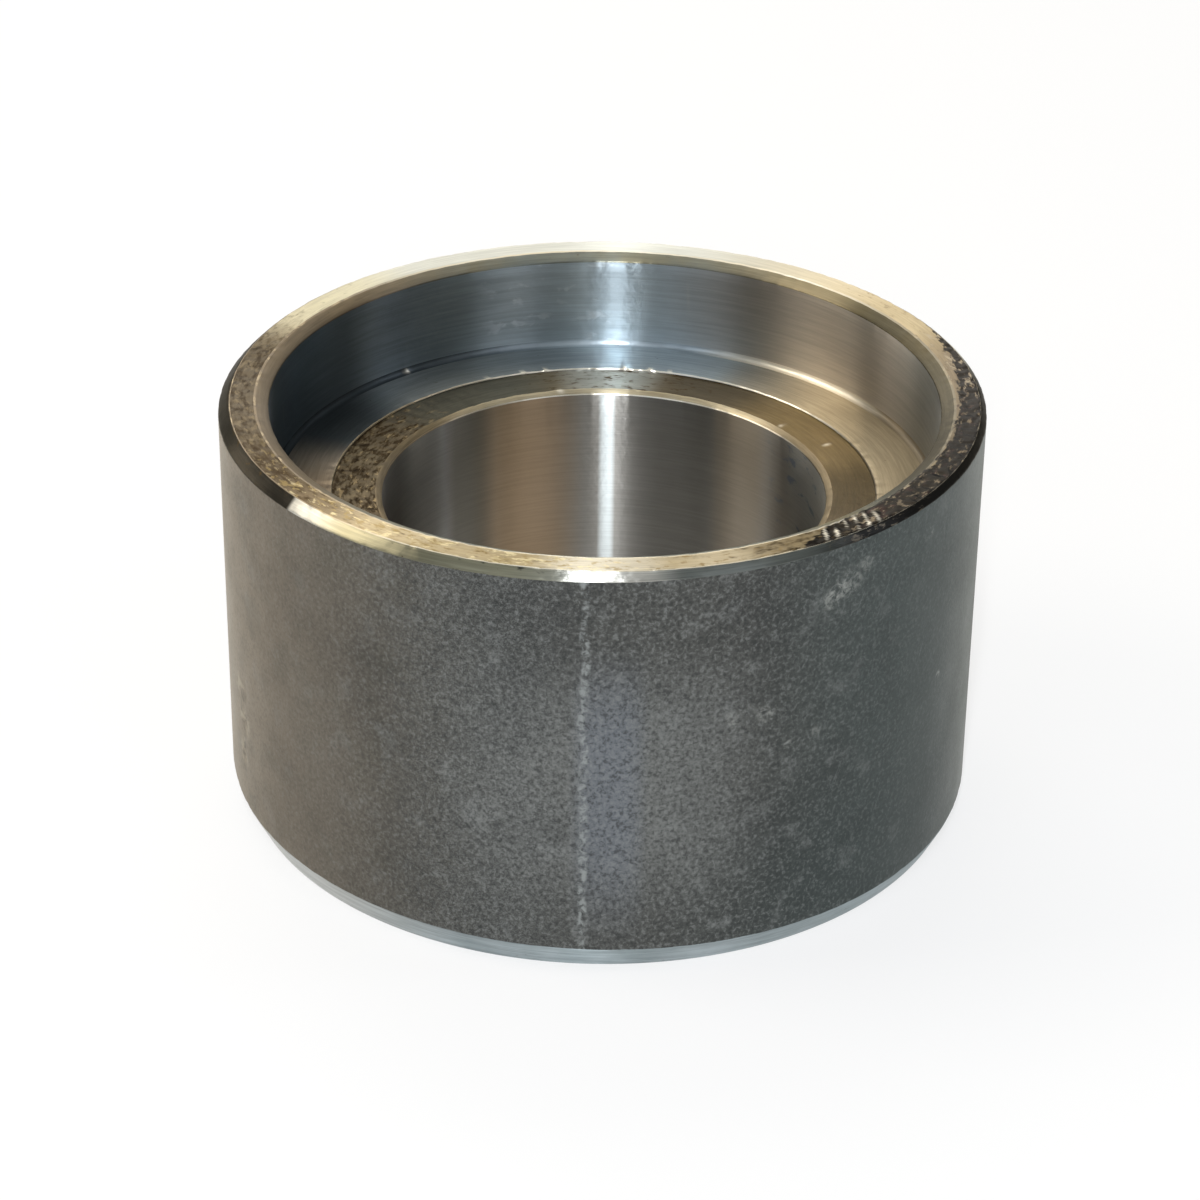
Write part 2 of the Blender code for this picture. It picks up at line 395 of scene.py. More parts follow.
def ring_mesh(name, sizes):
    """Closed mesh of the half section carried once round the turning axis.

    Point (row, turn) is the row's radius in that turn's direction from the turning
    axis, at the row's height, moved into the metal by its wear. U runs down the
    section in decimetres and V once round it. The angle between neighbouring points
    is even, less a sine of the angle, so that they crowd where the wear is finest.
    """
    even = np.arange(POINTS_ROUND) * math.tau / POINTS_ROUND
    angle = even - CROWDING * np.sin(even - math.radians(90.0 - CROWDED_BEARING))
    turns = angle / math.tau
    rows, faces, ragged = section_rows(half_section(sizes, angle), POINTS_ROUND)
    count = len(rows)
    out = np.stack([np.cos(angle), np.sin(angle)], axis=-1)
    run_x, run_y = heading(math.degrees(sizes.runout_bearing))
    centre = sizes.runout * np.array([run_x, run_y])
    points = np.concatenate([centre + rows[..., :1] * out, rows[..., 1:]], axis=-1)

    along = unit(np.roll(rows, -1, axis=0) - np.roll(rows, 1, axis=0))
    normals = np.concatenate([-along[..., 1:] * out, along[..., :1]], axis=-1)
    bearings = np.degrees(np.arctan2(out[:, 0], out[:, 1])) % 360.0
    depth, torn, bright = worn(points, faces, ragged, bearings[None, :], centre)
    points = points - normals * depth[..., None]
    points[..., 2] = np.clip(points[..., 2], 0.0, sizes.height)

    row = np.arange(count)[:, None]
    turn = np.arange(POINTS_ROUND)[None, :]
    next_row = (row + 1) % count
    next_turn = (turn + 1) % POINTS_ROUND
    quads = np.stack([
        row * POINTS_ROUND + turn,
        next_row * POINTS_ROUND + turn,
        next_row * POINTS_ROUND + next_turn,
        row * POINTS_ROUND + next_turn,
    ], axis=-1).reshape(-1)

    step = np.linalg.norm(np.roll(rows, -1, axis=0) - rows, axis=-1).mean(axis=1)
    edge = np.concatenate([[0.0], np.cumsum(step)]) * DECIMETRES_PER_METRE
    u = np.stack([edge[:-1], edge[1:], edge[1:], edge[:-1]], axis=-1)[:, None, :]
    after = np.append(turns[1:], turns[0] + 1.0)
    v = np.stack([turns, turns, after, after], axis=-1)[None]
    shape = (count, POINTS_ROUND, 4)
    uv = np.stack([np.broadcast_to(u, shape), np.broadcast_to(v, shape)], axis=-1)

    mesh = bpy.data.meshes.new(name)
    mesh.vertices.add(points.size // 3)
    mesh.vertices.foreach_set("co", points.reshape(-1).astype(np.float32))
    mesh.loops.add(quads.size)
    mesh.loops.foreach_set("vertex_index", quads.astype(np.int32))
    mesh.polygons.add(quads.size // 4)
    mesh.polygons.foreach_set("loop_start", np.arange(0, quads.size, 4, dtype=np.int32))
    mesh.update(calc_edges=True)
    layer = mesh.uv_layers.new(name=UV_NAME)
    layer.data.foreach_set("uv", uv.reshape(-1).astype(np.float32))
    for wear_name, wear in (("torn", torn), ("bright", bright)):
        attribute = mesh.attributes.new(wear_name, "FLOAT", "POINT")
        attribute.data.foreach_set("value", wear.reshape(-1).astype(np.float32))
    mesh.shade_smooth()
    return mesh, faces


def add_node(tree, kind, inputs=None, **settings):
    """Add a shader node, set its settings, set or link its inputs, and return its outputs."""
    node = tree.nodes.new(kind)
    for name, value in settings.items():
        setattr(node, name, value)
    for name, value in (inputs or {}).items():
        socket = node.inputs[name]
        if isinstance(value, bpy.types.NodeSocket):
            tree.links.new(value, socket)
        elif socket.type == "RGBA":
            socket.default_value = (*value[:3], 1.0)
        else:
            socket.default_value = value
    return node.outputs


def new_material(name):
    """Material with an empty node tree."""
    material = bpy.data.materials.new(name)
    material.use_nodes = True
    material.node_tree.nodes.clear()
    return material, material.node_tree


def around_axis(tree, place):
    """Unit vector from the axis to the shaded point, level with the floor."""
    level = add_node(tree, "ShaderNodeVectorMath", {0: place, 1: (1.0, 1.0, 0.0)},
                     operation="MULTIPLY")[0]
    return add_node(tree, "ShaderNodeVectorMath", {0: level}, operation="NORMALIZE")[0]


def side(tree, around, middle, half, soft, amount=1.0):
    """Mask that holds its amount in a sector of bearings in degrees and fades past it."""
    near = add_node(tree, "ShaderNodeVectorMath", {0: around, 1: (*heading(middle), 0.0)},
                    operation="DOT_PRODUCT")["Value"]
    return add_node(tree, "ShaderNodeMapRange", {
        "Value": near,
        "From Min": math.cos(math.radians(min(half + soft, 180.0))),
        "From Max": math.cos(math.radians(max(half - soft, 0.0))),
        "To Max": amount,
    }, interpolation_type="SMOOTHSTEP")[0]


def grains(tree, place, size_mm, start, full, amount=1.0, detail=2.0, curl=0.0):
    """Mask of noise grains of one size: none below a start level, and its amount at full."""
    noise = add_node(tree, "ShaderNodeTexNoise", {
        "Vector": place, "Scale": 1.0 / (size_mm * MM), "Detail": detail, "Roughness": 0.6,
        "Distortion": curl})[0]
    return add_node(tree, "ShaderNodeMapRange", {
        "Value": noise, "From Min": start, "From Max": full, "To Max": amount,
    }, interpolation_type="SMOOTHSTEP")[0]


def spot(tree, place, bearing, radius, height, reach, amount):
    """Mask that holds its amount at a place in degrees and millimetres, and fades round it."""
    east, north = heading(bearing)
    centre = (east * radius * MM, north * radius * MM, height * MM)
    away = add_node(tree, "ShaderNodeVectorMath", {0: place, 1: centre},
                    operation="DISTANCE")["Value"]
    return add_node(tree, "ShaderNodeMapRange", {
        "Value": away, "From Min": reach * MM, "From Max": 0.3 * reach * MM, "To Max": amount,
    }, interpolation_type="SMOOTHSTEP")[0]


def paint(tree, tint, layers):
    """Lay colours over one another, each as strongly as the product of its masks."""
    for code, *masks in layers:
        amount = masks[0]
        for mask in masks[1:]:
            amount = add_node(tree, "ShaderNodeMath", {0: amount, 1: mask},
                              operation="MULTIPLY")[0]
        tint = add_node(tree, "ShaderNodeMix", {0: amount, 6: tint, 7: code},
                        data_type="RGBA")[2]
    return tint


def turned_steel(name, c, steel, film, film_share=0.5, roughness=0.36, anisotropy=0.95,
                 ring_mm=0.3, ring_um=3.0, ring_contrast=0.25, streak_deg=10.0, pit_mm=0.6,
                 pit_start=0.70, pit_soft=0.12, pit_um=20.0, glance="#ffffff", pit_sectors=(),
                 patches=(), specks=()):
    """Plain carbon steel cut on a lathe.

    The tool leaves fine rings, so a lamp's reflection is drawn out across them into a
    streak that points at the axis. The rings are drawn two or three times as far apart
    as the real feed so that they show. A film of dried oil lies on it in clouds, and the
    stain fills its pits, which are denser in some sectors of bearings. A patch is a
    sector with its own colour, and specks are grains of another colour in a sector. The
    glance colour tints what it mirrors at a shallow angle.

    Each sector is given by its middle, half width and soft edge in degrees. Then a pit
    sector has how much denser its pits are, a patch its amount and colour, and specks
    their size in millimetres, the noise level where they start, and their colour.
    """
    material, tree = new_material(name)
    place = add_node(tree, "ShaderNodeTexCoord")["Object"]
    uv = add_node(tree, "ShaderNodeUVMap", uv_map=UV_NAME)["UV"]
    down = add_node(tree, "ShaderNodeSeparateXYZ", {"Vector": uv})["X"]
    around = around_axis(tree, place)
    # Place on the face in metres, halved round the ring so that marks come out longer there.
    across = add_node(tree, "ShaderNodeMath", {0: down, 1: 1.0 / DECIMETRES_PER_METRE},
                      operation="MULTIPLY")[0]
    across = add_node(tree, "ShaderNodeCombineXYZ", {"Z": across})[0]
    face = add_node(tree, "ShaderNodeVectorMath", {0: place, 1: (0.5, 0.5, 0.0), 2: across},
                    operation="MULTIPLY_ADD")[0]
    # Rings: cells that are one groove wide and a few degrees long.
    groove = add_node(tree, "ShaderNodeMath", {0: down, 1: MM_PER_DECIMETRE / ring_mm},
                      operation="MULTIPLY")[0]
    groove = add_node(tree, "ShaderNodeCombineXYZ", {"Z": groove})[0]
    cell = add_node(tree, "ShaderNodeVectorMath", {
        0: around, 1: (DEGREES_PER_RADIAN / streak_deg,) * 3, 2: groove},
        operation="MULTIPLY_ADD")[0]
    rings = add_node(tree, "ShaderNodeTexNoise", {
        "Vector": cell, "Scale": 1.0, "Detail": 3.0, "Roughness": 0.65})[0]
    pits = add_node(tree, "ShaderNodeTexNoise", {
        "Vector": face, "Scale": 1.0 / (pit_mm * MM), "Detail": 2.5, "Roughness": 0.6})[0]
    for middle, half, soft, amount in pit_sectors:
        more = side(tree, around, middle, half, soft, amount)
        pits = add_node(tree, "ShaderNodeMath", {0: pits, 1: more}, operation="ADD")[0]
    stained = add_node(tree, "ShaderNodeMapRange", {
        "Value": pits, "From Min": pit_start, "From Max": pit_start + pit_soft, "To Max": 0.85,
    }, interpolation_type="SMOOTHSTEP")[0]
    furrow = add_node(tree, "ShaderNodeMapRange", {
        "Value": rings, "From Min": 0.7, "From Max": 0.3, "To Max": ring_contrast,
    }, interpolation_type="SMOOTHSTEP")[0]
    torn = add_node(tree, "ShaderNodeAttribute", attribute_name="torn")["Fac"]
    torn = add_node(tree, "ShaderNodeMath", {
        0: torn, 1: grains(tree, face, 0.9, 0.3, 0.7, 0.8)}, operation="ADD")[0]
    torn = add_node(tree, "ShaderNodeMapRange", {
        "Value": torn, "From Min": 0.3, "From Max": 0.6, "To Max": 0.96})[0]
    # Painted glints on burrs and chatter, over rubbed steel.
    bright = add_node(tree, "ShaderNodeAttribute", attribute_name="bright")["Fac"]

    thin = 0.5 - film_share / 2
    layers = [(film, grains(tree, place, FILM_CLOUD, thin, thin + 0.5, 1.0, 5.0))]
    layers += [(code, side(tree, around, middle, half, soft, amount))
               for middle, half, soft, amount, code in patches]
    layers += [(hex_colour("#000000"), furrow), (c.stain, stained), (c.torn, torn)]
    layers += [(code, side(tree, around, middle, half, soft, 0.9),
                grains(tree, face, size_mm, start, start + 0.12, 1.0, 3.0, 0.3))
               for middle, half, soft, size_mm, start, code in specks]
    tint = paint(tree, steel, layers + [(c.rubbed_and_glint, bright)])

    ring_bump = add_node(tree, "ShaderNodeBump", {
        "Strength": 1.0, "Distance": ring_um * 1e-6, "Height": rings})[0]
    pit_bump = add_node(tree, "ShaderNodeBump", {
        "Strength": 1.0, "Distance": pit_um * 1e-6, "Height": pits, "Normal": ring_bump},
        invert=True)[0]
    tangent = add_node(tree, "ShaderNodeTangent", direction_type="UV_MAP", uv_map=UV_NAME)[0]
    rough = add_node(tree, "ShaderNodeMapRange", {
        "Value": stained, "To Min": roughness, "To Max": min(roughness + 0.25, 0.8)})[0]
    shader = add_node(tree, "ShaderNodeBsdfPrincipled", {
        "Base Color": tint, "Metallic": 1.0, "Roughness": rough, "Anisotropic": anisotropy,
        "Specular Tint": hex_colour(glance), "Tangent": tangent, "Normal": pit_bump})[0]
    add_node(tree, "ShaderNodeOutputMaterial", {"Surface": shader})
    return material


def mill_scale(c):
    """Mill scale on drawn tube.

    A dark, half-matt skin of oxide with curly grain, drawn about half a millimetre wide
    so that it shows. A painted warm reflection lies on its left and a painted cool
    reflection on its right, painted reflections lighten its left and right edges, and it
    is lighter halfway down the front. A broken draw line runs down the front with a
    painted blue highlight beside it. A little dust lightens it where it turns away.
    """
    material, tree = new_material("mill_scale_skin")
    place = add_node(tree, "ShaderNodeTexCoord")["Object"]
    around = around_axis(tree, place)
    height = add_node(tree, "ShaderNodeSeparateXYZ", {"Vector": place})["Z"]
    # Masks by height in millimetres, from none to full: above the foot, below the rim,
    # and near the foot.
    rise, belly, low = [
        add_node(tree, "ShaderNodeMapRange", {
            "Value": height, "From Min": none_mm * MM, "From Max": full_mm * MM,
        }, interpolation_type="SMOOTHSTEP")[0]
        for none_mm, full_mm in ((2.0, 22.0), (50.0, 34.0), (30.0, 8.0))
    ]
    # The draw line wanders by a millimetre, because noise moves the place it is drawn at.
    wander = add_node(tree, "ShaderNodeTexNoise", {
        "Vector": place, "Scale": 210.0, "Detail": 4.0, "Roughness": 0.6})[1]
    wander = add_node(tree, "ShaderNodeVectorMath", {
        0: wander, 1: (0.0022, 0.0, 0.0), 2: place}, operation="MULTIPLY_ADD")[0]
    wander = around_axis(tree, wander)
    # Scratches lie aslant: the surface is laid flat in decimetres, turned and squeezed.
    uv = add_node(tree, "ShaderNodeUVMap", uv_map=UV_NAME)["UV"]
    flat = add_node(tree, "ShaderNodeMapping", {
        "Vector": uv, "Rotation": (0.0, 0.0, math.radians(25.0)), "Scale": (1.0, 3.19, 0.0)})[0]
    scratch = add_node(tree, "ShaderNodeVectorMath", {0: flat, 1: (12.0, 260.0, 0.0)},
                       operation="MULTIPLY")[0]

    grain_mm, grain_detail, grain_curl = SCALE_GRAIN
    front = add_node(tree, "ShaderNodeMapRange", {
        "Value": side(tree, around, 175.0, 32.0, 22.0), "To Min": 0.35})[0]
    curls = grains(tree, place, 0.55, 0.46, 0.62, 1.0, 2.0, 2.5)
    layers = [
        # Painted warm reflection on the left and painted cool reflection on the right.
        (c.scale_warm, side(tree, around, 270.0, 30.0, 46.0, 0.95)),
        (c.scale_cool, side(tree, around, 120.0, 14.0, 26.0, 0.75)),
        # Painted reflection lightening the left edge where the skin turns away.
        (hex_colour("#918776"), side(tree, around, 272.0, 14.0, 30.0, 0.85)),
        (hex_colour("#5f5c50"), side(tree, around, 232.0, 20.0, 20.0, 0.5),
         grains(tree, place, 6.0, 0.45, 0.70, 0.7, 4.0)),
        # Painted reflection lightening the right edge.
        (hex_colour("#7f857f"), side(tree, around, 86.0, 16.0, 22.0, 0.7)),
        (hex_colour("#303c3c"), side(tree, around, 134.0, 22.0, 20.0, 0.50), low),
        (c.scale_light, side(tree, around, 179.0, 12.0, 14.0, 0.34), rise, belly),
        (c.scale_dark, front, grains(tree, place, SCALE_CLOUD, 0.50, 0.28, 0.40, 4.0)),
        (c.scale_light, front, grains(tree, place, 5.0, 0.54, 0.74, 0.40, 4.0)),
        # Painted blue highlight beside the draw line.
        (hex_colour("#7d8592"), side(tree, around, 178.5, 1.5, 4.5, 0.40), belly, rise),
        (c.scale_light, front,
         grains(tree, place, grain_mm, 0.48, 0.72, 0.46, grain_detail, grain_curl)),
        (c.scale_dark, front,
         grains(tree, place, grain_mm, 0.52, 0.32, 0.64, grain_detail, grain_curl)),
        (c.scale_light, side(tree, around, 197.0, 8.0, 8.0, 0.30), curls),
        (c.scale_dark, side(tree, around, 197.0, 10.0, 9.0, 0.6),
         grains(tree, place, 0.62, 0.52, 0.36, 0.8, 3.0, 1.0)),
        (hex_colour("#4c5351"), side(tree, around, 130.0, 15.0, 18.0, 0.22)),
        (hex_colour("#a3a8a6"), side(tree, wander, 180.9, 0.35, 0.45, 0.85),
         grains(tree, place, 1.1, 0.42, 0.62, 0.9, 3.0, 0.6)),
        (hex_colour("#8d9292"), side(tree, around, 134.0, 12.0, 8.0, 0.7),
         grains(tree, scratch, 1000.0, 0.62, 0.80, 0.6, 3.0)),
    ]
    smear = grains(tree, place, 1.0, 0.38, 0.68, 1.0, 3.0, 0.8)
    layers += [(c.clean, spot(tree, place, bearing, SKIN_RADIUS, rise_mm, reach, amount), smear)
               for bearing, rise_mm, reach, amount in SCUFFS]
    # Painted shade and painted highlight in grains over each knock.
    bruise_shade = grains(tree, place, 2.0, 0.52, 0.36, 0.9, 1.5, 1.0)
    bruise_highlight = grains(tree, place, 2.0, 0.50, 0.66, 0.9, 1.5, 1.0)
    for bearing, rise_mm, reach in BRUISES:
        bruise = spot(tree, place, bearing, SKIN_RADIUS, rise_mm, reach, 0.6)
        layers += [(hex_colour("#4f493c"), bruise, bruise_shade), (hex_colour("#aca48f"), bruise, bruise_highlight)]
    tint = paint(tree, c.scale, layers)
    grain = add_node(tree, "ShaderNodeTexNoise", {
        "Vector": place, "Scale": 1.0 / (grain_mm * MM), "Detail": grain_detail,
        "Roughness": 0.6, "Distortion": grain_curl})[0]
    bump = add_node(tree, "ShaderNodeBump", {
        "Strength": 1.0, "Distance": 0.00003, "Height": grain})[0]
    rough = grains(tree, place, SCALE_CLOUD, 0.7, 0.3, 0.12, 4.0)
    rough = add_node(tree, "ShaderNodeMath", {0: rough, 1: 0.50}, operation="ADD")[0]
    shader = add_node(tree, "ShaderNodeBsdfPrincipled", {
        "Base Color": tint, "Metallic": 0.75, "Roughness": rough, "Normal": bump,
        "Sheen Weight": 0.12, "Sheen Roughness": 0.4, "Sheen Tint": hex_colour("#efe6d4")})[0]
    add_node(tree, "ShaderNodeOutputMaterial", {"Surface": shader})
    return material


def finish_materials(c):
    """Material of each face and edge of the half section."""
    return {
        "skin": mill_scale(c),
        # Faced across: clean at the back, oily in front, with brown pits on the left.
        "rim": turned_steel(
            "faced_rim_steel", c, c.faced, c.oil, roughness=0.42,
            ring_mm=0.22, ring_contrast=0.2, pit_mm=0.9, pit_start=0.54, pit_soft=0.34,
            pit_sectors=((262.0, 28.0, 10.0, 0.13), (190.0, 16.0, 12.0, -0.03),
                         (230.0, 9.0, 10.0, 0.08), (150.0, 5.0, 6.0, 0.14),
                         (0.0, 40.0, 15.0, -0.2)),
            patches=((355.0, 48.0, 16.0, 0.9, c.clean),
                     (306.0, 9.0, 11.0, 0.8, hex_colour("#ddd6b8")),
                     (50.0, 20.0, 16.0, 0.6, hex_colour("#bcae8e")),
                     (92.0, 18.0, 12.0, 0.9, hex_colour("#877964")),
                     (234.0, 10.0, 9.0, 0.85, hex_colour("#6c5c45")),
                     (195.0, 7.0, 7.0, 0.4, hex_colour("#a08e66")),
                     (263.0, 26.0, 10.0, 0.92, hex_colour("#51442f")),
                     (180.0, 5.0, 6.0, 0.7, hex_colour("#d3cdbd")),
                     (149.0, 5.0, 7.0, 0.7, hex_colour("#7c6b48"))),
            specks=((106.0, 34.0, 8.0, 1.2, 0.54, hex_colour("#43322d")),
                    (76.0, 14.0, 5.0, 1.2, 0.56, hex_colour("#a89d87")),
                    (104.0, 22.0, 4.0, 0.9, 0.57, hex_colour("#8c7e69")),
                    (132.0, 9.0, 4.0, 0.9, 0.52, hex_colour("#968872")),
                    (262.0, 28.0, 10.0, 1.0, 0.53, hex_colour("#76684f")),
                    (262.0, 26.0, 8.0, 0.8, 0.57, hex_colour("#3e3322")),
                    (212.0, 32.0, 12.0, 0.8, 0.52, hex_colour("#9c8a5f")),
                    (196.0, 8.0, 5.0, 0.8, 0.60, hex_colour("#6f5a3c")),
                    (162.0, 14.0, 8.0, 0.8, 0.55, hex_colour("#94805a")),
                    (205.0, 28.0, 14.0, 1.0, 0.55, hex_colour("#d6c9a2")))),
        # Turned with a sharp tool. Painted dark reflections lie on its left, ending sharply,
        # and on its right, and painted shade ends its front highlight.
        "rim_chamfer": turned_steel(
            "turned_chamfer_steel", c, c.steel, c.clean, roughness=0.34, ring_mm=0.2,
            glance="#d8d5ce",
            # Painted shade ending the front highlight, then painted dark reflections on the left
            # and right.
            patches=((206.0, 17.0, 5.0, 0.85, hex_colour("#938d6c")),
                     (196.0, 11.0, 2.5, 0.70, hex_colour("#7f7f6c")),
                     (157.0, 13.5, 3.0, 0.88, hex_colour("#636a66")),
                     (292.0, 24.0, 10.0, 0.94, hex_colour("#1a150c")),
                     (257.3, 26.9, 0.5, 0.95, hex_colour("#1d170d")),
                     (112.0, 34.0, 6.0, 0.97, hex_colour("#0b090a"))),
            specks=((262.0, 30.0, 6.0, 0.8, 0.60, hex_colour("#4c402a")),
                    (196.0, 10.0, 4.0, 1.4, 0.54, hex_colour("#3f3f38")),
                    (136.0, 9.0, 3.0, 0.9, 0.54, hex_colour("#6d665a")))),
        # Rubbed a little brighter than the rim, and dull under oil on both sides.
        "rim_edge": turned_steel(
            "rubbed_rim_edge_steel", c, hex_colour("#ddd3bb"), c.clean, film_share=0.3,
            roughness=0.38, ring_contrast=0.1,
            patches=((270.0, 48.0, 20.0, 0.9, hex_colour("#75654f")),
                     (95.0, 42.0, 20.0, 0.85, hex_colour("#6e6553"))),
            specks=((270.0, 50.0, 18.0, 1.6, 0.52, hex_colour("#b0a185")),
                    (95.0, 44.0, 18.0, 1.6, 0.54, hex_colour("#9d927c")))),
        # A broad flare with a thin, olive oil film.
        "lead_in": turned_steel(
            "turned_lead_in_steel", c, hex_colour("#80857e"), hex_colour("#8b8368"), film_share=0.4,
            patches=((275.0, 50.0, 20.0, 0.85, hex_colour("#70604a")),
                     (80.0, 45.0, 20.0, 0.85, hex_colour("#4e452e")),
                     (35.0, 8.0, 10.0, 0.5, hex_colour("#a3977a")))),
        # Bored smooth; its blue tint is a painted cool reflection. Painted shade lies on its left
        # and over the lamp's streak at the back, and a painted warm reflection on its right.
        "socket": turned_steel(
            "bored_socket_steel", c, c.blue, hex_colour("#b9c5ca"), roughness=0.31,
            anisotropy=1.0, ring_mm=0.4, ring_um=8.0, ring_contrast=0.18, streak_deg=16.0,
            pit_start=0.86,
            # Painted shade on the left.
            patches=((294.0, 30.0, 27.0, 0.85, c.shade),
                     # Painted shade dimming the lamp's streak at the back.
                     (2.0, 3.0, 3.0, 0.6, hex_colour("#8d999f")),
                     # Painted warm reflections on the right.
                     (46.0, 18.0, 20.0, 0.75, hex_colour("#bfae99")),
                     (84.0, 10.0, 12.0, 0.6, hex_colour("#a49d90"))),
            specks=((350.0, 8.0, 7.0, 1.8, 0.57, hex_colour("#cdd6da")),)),
        # Tool-nose corner: painted shade on the left, painted highlight on the right.
        "corner": turned_steel(
            "socket_corner_steel", c, hex_colour("#8f9aa0"), c.blue, roughness=0.36,
            patches=((290.0, 45.0, 25.0, 0.9, hex_colour("#23282b")),
                     (80.0, 40.0, 20.0, 0.9, hex_colour("#a3947a")),
                     (40.0, 12.0, 12.0, 0.9, c.rubbed_and_glint))),
        # Faced for the pipe's end: cool, with painted shade on the left and a painted warm
        # reflection on the right.
        "seat": turned_steel(
            "faced_seat_steel", c, hex_colour("#9ca7ab"), hex_colour("#a7b3b8"), roughness=0.4,
            ring_mm=0.3,
            # Painted warm reflection on the right.
            patches=((74.0, 34.0, 16.0, 0.85, hex_colour("#bcab89")),
                     (38.0, 6.0, 8.0, 0.5, hex_colour("#8d8068")),
                     (347.0, 5.0, 8.0, 0.5, hex_colour("#7d888d")),
                     # Painted shade on the left.
                     (320.0, 22.0, 14.0, 0.6, hex_colour("#75766e")),
                     (294.0, 11.0, 9.0, 0.9, hex_colour("#343b3e")),
                     (262.0, 16.0, 12.0, 0.85, hex_colour("#a58e6f")))),
        # Left rough from the drill: brown grains on the left, olive film on the right.
        "relief": turned_steel(
            "rough_turned_relief_steel", c, hex_colour("#867960"), hex_colour("#665741"),
            roughness=0.5, anisotropy=0.8, ring_mm=0.4, pit_mm=0.8, pit_start=0.52, pit_soft=0.2,
            pit_um=50.0, pit_sectors=((270.0, 40.0, 14.0, 0.10), (326.0, 16.0, 10.0, -0.15),
                                      (70.0, 35.0, 20.0, -0.2)),
            patches=((326.0, 18.0, 12.0, 0.85, hex_colour("#5d5e54")),
                     # Painted highlight where the lamp's streak crosses the relief at the back.
                     (2.0, 5.0, 10.0, 0.7, hex_colour("#aab0ab")),
                     (28.0, 10.0, 9.0, 0.8, hex_colour("#575144")),
                     (68.0, 22.0, 14.0, 0.85, hex_colour("#83724f")),
                     (92.0, 10.0, 9.0, 0.8, hex_colour("#544830"))),
            specks=((270.0, 40.0, 12.0, 0.9, 0.57, hex_colour("#ad9973")),
                    (270.0, 40.0, 12.0, 0.8, 0.58, hex_colour("#3b2f1e")))),
        # Bored smooth, with a painted brown reflection on the left of the back and a painted
        # highlight streak at the back.
        "bore": turned_steel(
            "bored_steel", c, c.bore, hex_colour("#96938c"), roughness=0.36, anisotropy=1.0,
            ring_mm=0.3, ring_um=10.0, ring_contrast=0.12, streak_deg=20.0, pit_start=0.86,
            # Painted brown reflection on the left of the back.
            patches=((338.0, 6.0, 12.0, 0.7, c.brown),
                     (320.0, 4.0, 6.0, 0.65, hex_colour("#696353")),
                     (302.0, 6.0, 8.0, 0.5, hex_colour("#bcbdba")),
                     # Painted highlight streak from the front lamp.
                     (1.3, 1.4, 1.2, 0.9, hex_colour("#d6dcda")),
                     (23.0, 9.0, 9.0, 0.75, hex_colour("#605d54")),
                     (41.0, 5.0, 6.0, 0.5, hex_colour("#85775f")),
                     (80.0, 14.0, 10.0, 0.6, hex_colour("#d2cfc4"))),
            specks=((66.0, 10.0, 8.0, 1.6, 0.56, hex_colour("#7f8890")),)),
        # Narrow and bright where the tool broke the edge, brown on the left.
        "bore_edge": turned_steel(
            "turned_bore_edge_steel", c, hex_colour("#bfb59c"), c.oil, film_share=0.4,
            roughness=0.4,
            patches=((270.0, 45.0, 20.0, 0.85, hex_colour("#75654a")),
                     (88.0, 35.0, 20.0, 0.8, hex_colour("#85755a")))),
        "step_edge": turned_steel(
            "rubbed_step_edge_steel", c, c.rubbed_and_glint, c.clean, film_share=0.3, roughness=0.35,
            ring_contrast=0.1,
            patches=((275.0, 50.0, 20.0, 0.85, hex_colour("#94815f")),
                     (84.0, 20.0, 14.0, 0.9, hex_colour("#54472f")))),
        # Turned last, so it is the brightest and coolest.
        "bevel": turned_steel(
            "turned_bevel_steel", c, c.bevel, hex_colour("#9aa6a8"), roughness=0.4,
            ring_mm=0.35, ring_contrast=0.3,
            # Painted reflection of the bright floor on the bevel's left.
            patches=((240.0, 24.0, 18.0, 0.8, hex_colour("#c6c7c4")),)),
        # Faced square to the axis, where it stands.
        "foot": turned_steel(
            "faced_foot_steel", c, c.steel, hex_colour("#a39f92"), film_share=0.6, roughness=0.42,
            ring_mm=0.45, ring_contrast=0.4, pit_start=0.64),
    }


class BUSHING_OT_ring(bpy.types.Operator):
    """Turn the bushing's fine surface and give each face its finish"""

    bl_idname = "bushing.ring"
    bl_label = "Turned Ring"

    def execute(self, context):
        mesh, faces = ring_mesh("turned_ring", context.scene.bushing_sizes)
        materials = finish_materials(context.scene.bushing_colours)
        names = list(materials)
        for name in names:
            mesh.materials.append(materials[name])
        index = np.repeat([names.index(face) for face in faces], POINTS_ROUND)
        mesh.polygons.foreach_set("material_index", index.astype(np.int32))
        ring = bpy.data.objects.new("turned_ring", mesh)
        context.scene.collection.objects.link(ring)
        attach(ring, "root")
        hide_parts(NODE)
        return {"FINISHED"}


# Camera, placed from the foot's centre at the photograph's angle, in a square frame.
# It is placed in metres. The lens and the frame are in pixels, and the sensor is in
# millimetres.
CAMERA_BACK = 0.4298
CAMERA_ABOVE = 0.2659
CAMERA_TILT = math.radians(29.15)
CAMERA_ROLL = math.radians(0.71)
CAMERA_LENS_PIXELS = 3596.0
FRAME_PIXELS = 1200.0
SENSOR_WIDTH = 36.0


